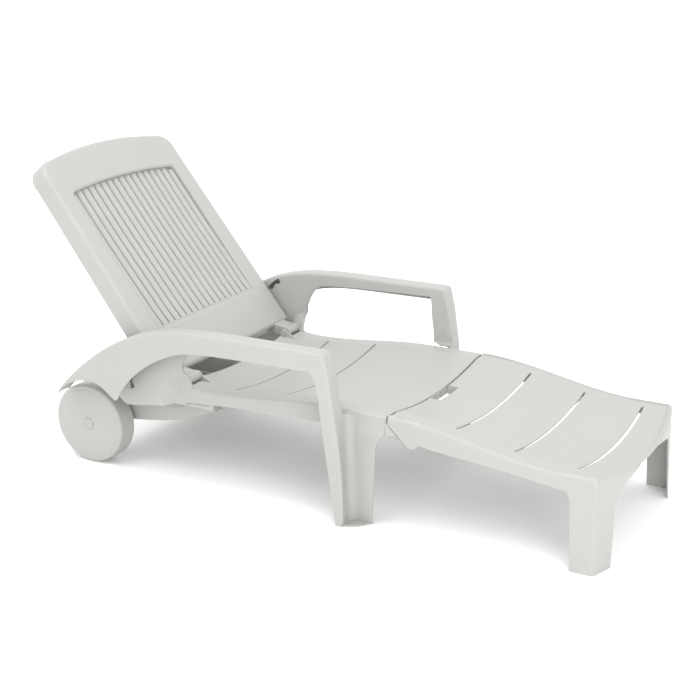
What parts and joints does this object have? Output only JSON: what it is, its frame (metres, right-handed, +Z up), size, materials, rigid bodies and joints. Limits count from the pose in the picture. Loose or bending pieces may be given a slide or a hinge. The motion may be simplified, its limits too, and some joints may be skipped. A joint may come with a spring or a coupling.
{
  "type": "reclining sun lounger",
  "caption": "Moulded plastic sun lounger with a dished slatted seat, folding foot section, reclining ribbed backrest, hollow armrests with legs and transport wheels.",
  "frame": {"origin": "bottom centre of the whole object at rest, on the ground under it", "axes": "+X to the foot end, +Y to the left side of a person lying on it, +Z up"},
  "size_m": [1.689, 0.731, 0.8356],
  "materials": {
    "moulded_plastic": "satin moulded, warm white",
    "wheel_plastic": "satin moulded, warm white",
    "pin_plastic": "satin moulded, warm white",
    "steel": "zinc plated"
  },
  "bodies": {
    "base": {"seat_section": "moulded_plastic", "rear_beam": "moulded_plastic", "axle": "steel", "beam_screws": "steel", "left_arm": "moulded_plastic", "right_arm": "moulded_plastic", "left_hinge_pin": "pin_plastic", "right_hinge_pin": "pin_plastic", "left_arm_screws": "steel", "right_arm_screws": "steel", "left_axle_spacer": "pin_plastic", "right_axle_spacer": "pin_plastic", "left_push_nut": "steel", "right_push_nut": "steel"},
    "backrest": {"backrest": "moulded_plastic", "left_recline_lug": "pin_plastic", "right_recline_lug": "pin_plastic"},
    "foot_section": {"foot_section": "moulded_plastic", "left_fold_pin": "pin_plastic", "right_fold_pin": "pin_plastic", "left_fold_clip": "steel", "right_fold_clip": "steel"},
    "left_wheel": {"left_wheel": "wheel_plastic", "left_hub_cap": "pin_plastic"},
    "right_wheel": {"right_wheel": "wheel_plastic", "right_hub_cap": "pin_plastic"}
  },
  "joints": [
    {"name": "backrest_recline", "type": "hinge", "parent": "base", "child": "backrest", "pos_m": [-0.33902, 0, 0.2784], "axis": [0, 1, 0], "range_deg": [-46.6, 20.4]},
    {"name": "foot_fold", "type": "hinge", "parent": "base", "child": "foot_section", "pos_m": [0.33698, 0, 0.242], "axis": [0, 1, 0], "range_deg": [0, 145]},
    {"name": "left_wheel_spin", "type": "hinge", "parent": "base", "child": "left_wheel", "pos_m": [-0.64752, 0.283, 0.1126], "axis": [0, 1, 0], "continuous": true},
    {"name": "right_wheel_spin", "type": "hinge", "parent": "base", "child": "right_wheel", "pos_m": [-0.64752, -0.283, 0.1126], "axis": [0, 1, 0], "continuous": true}
  ]
}
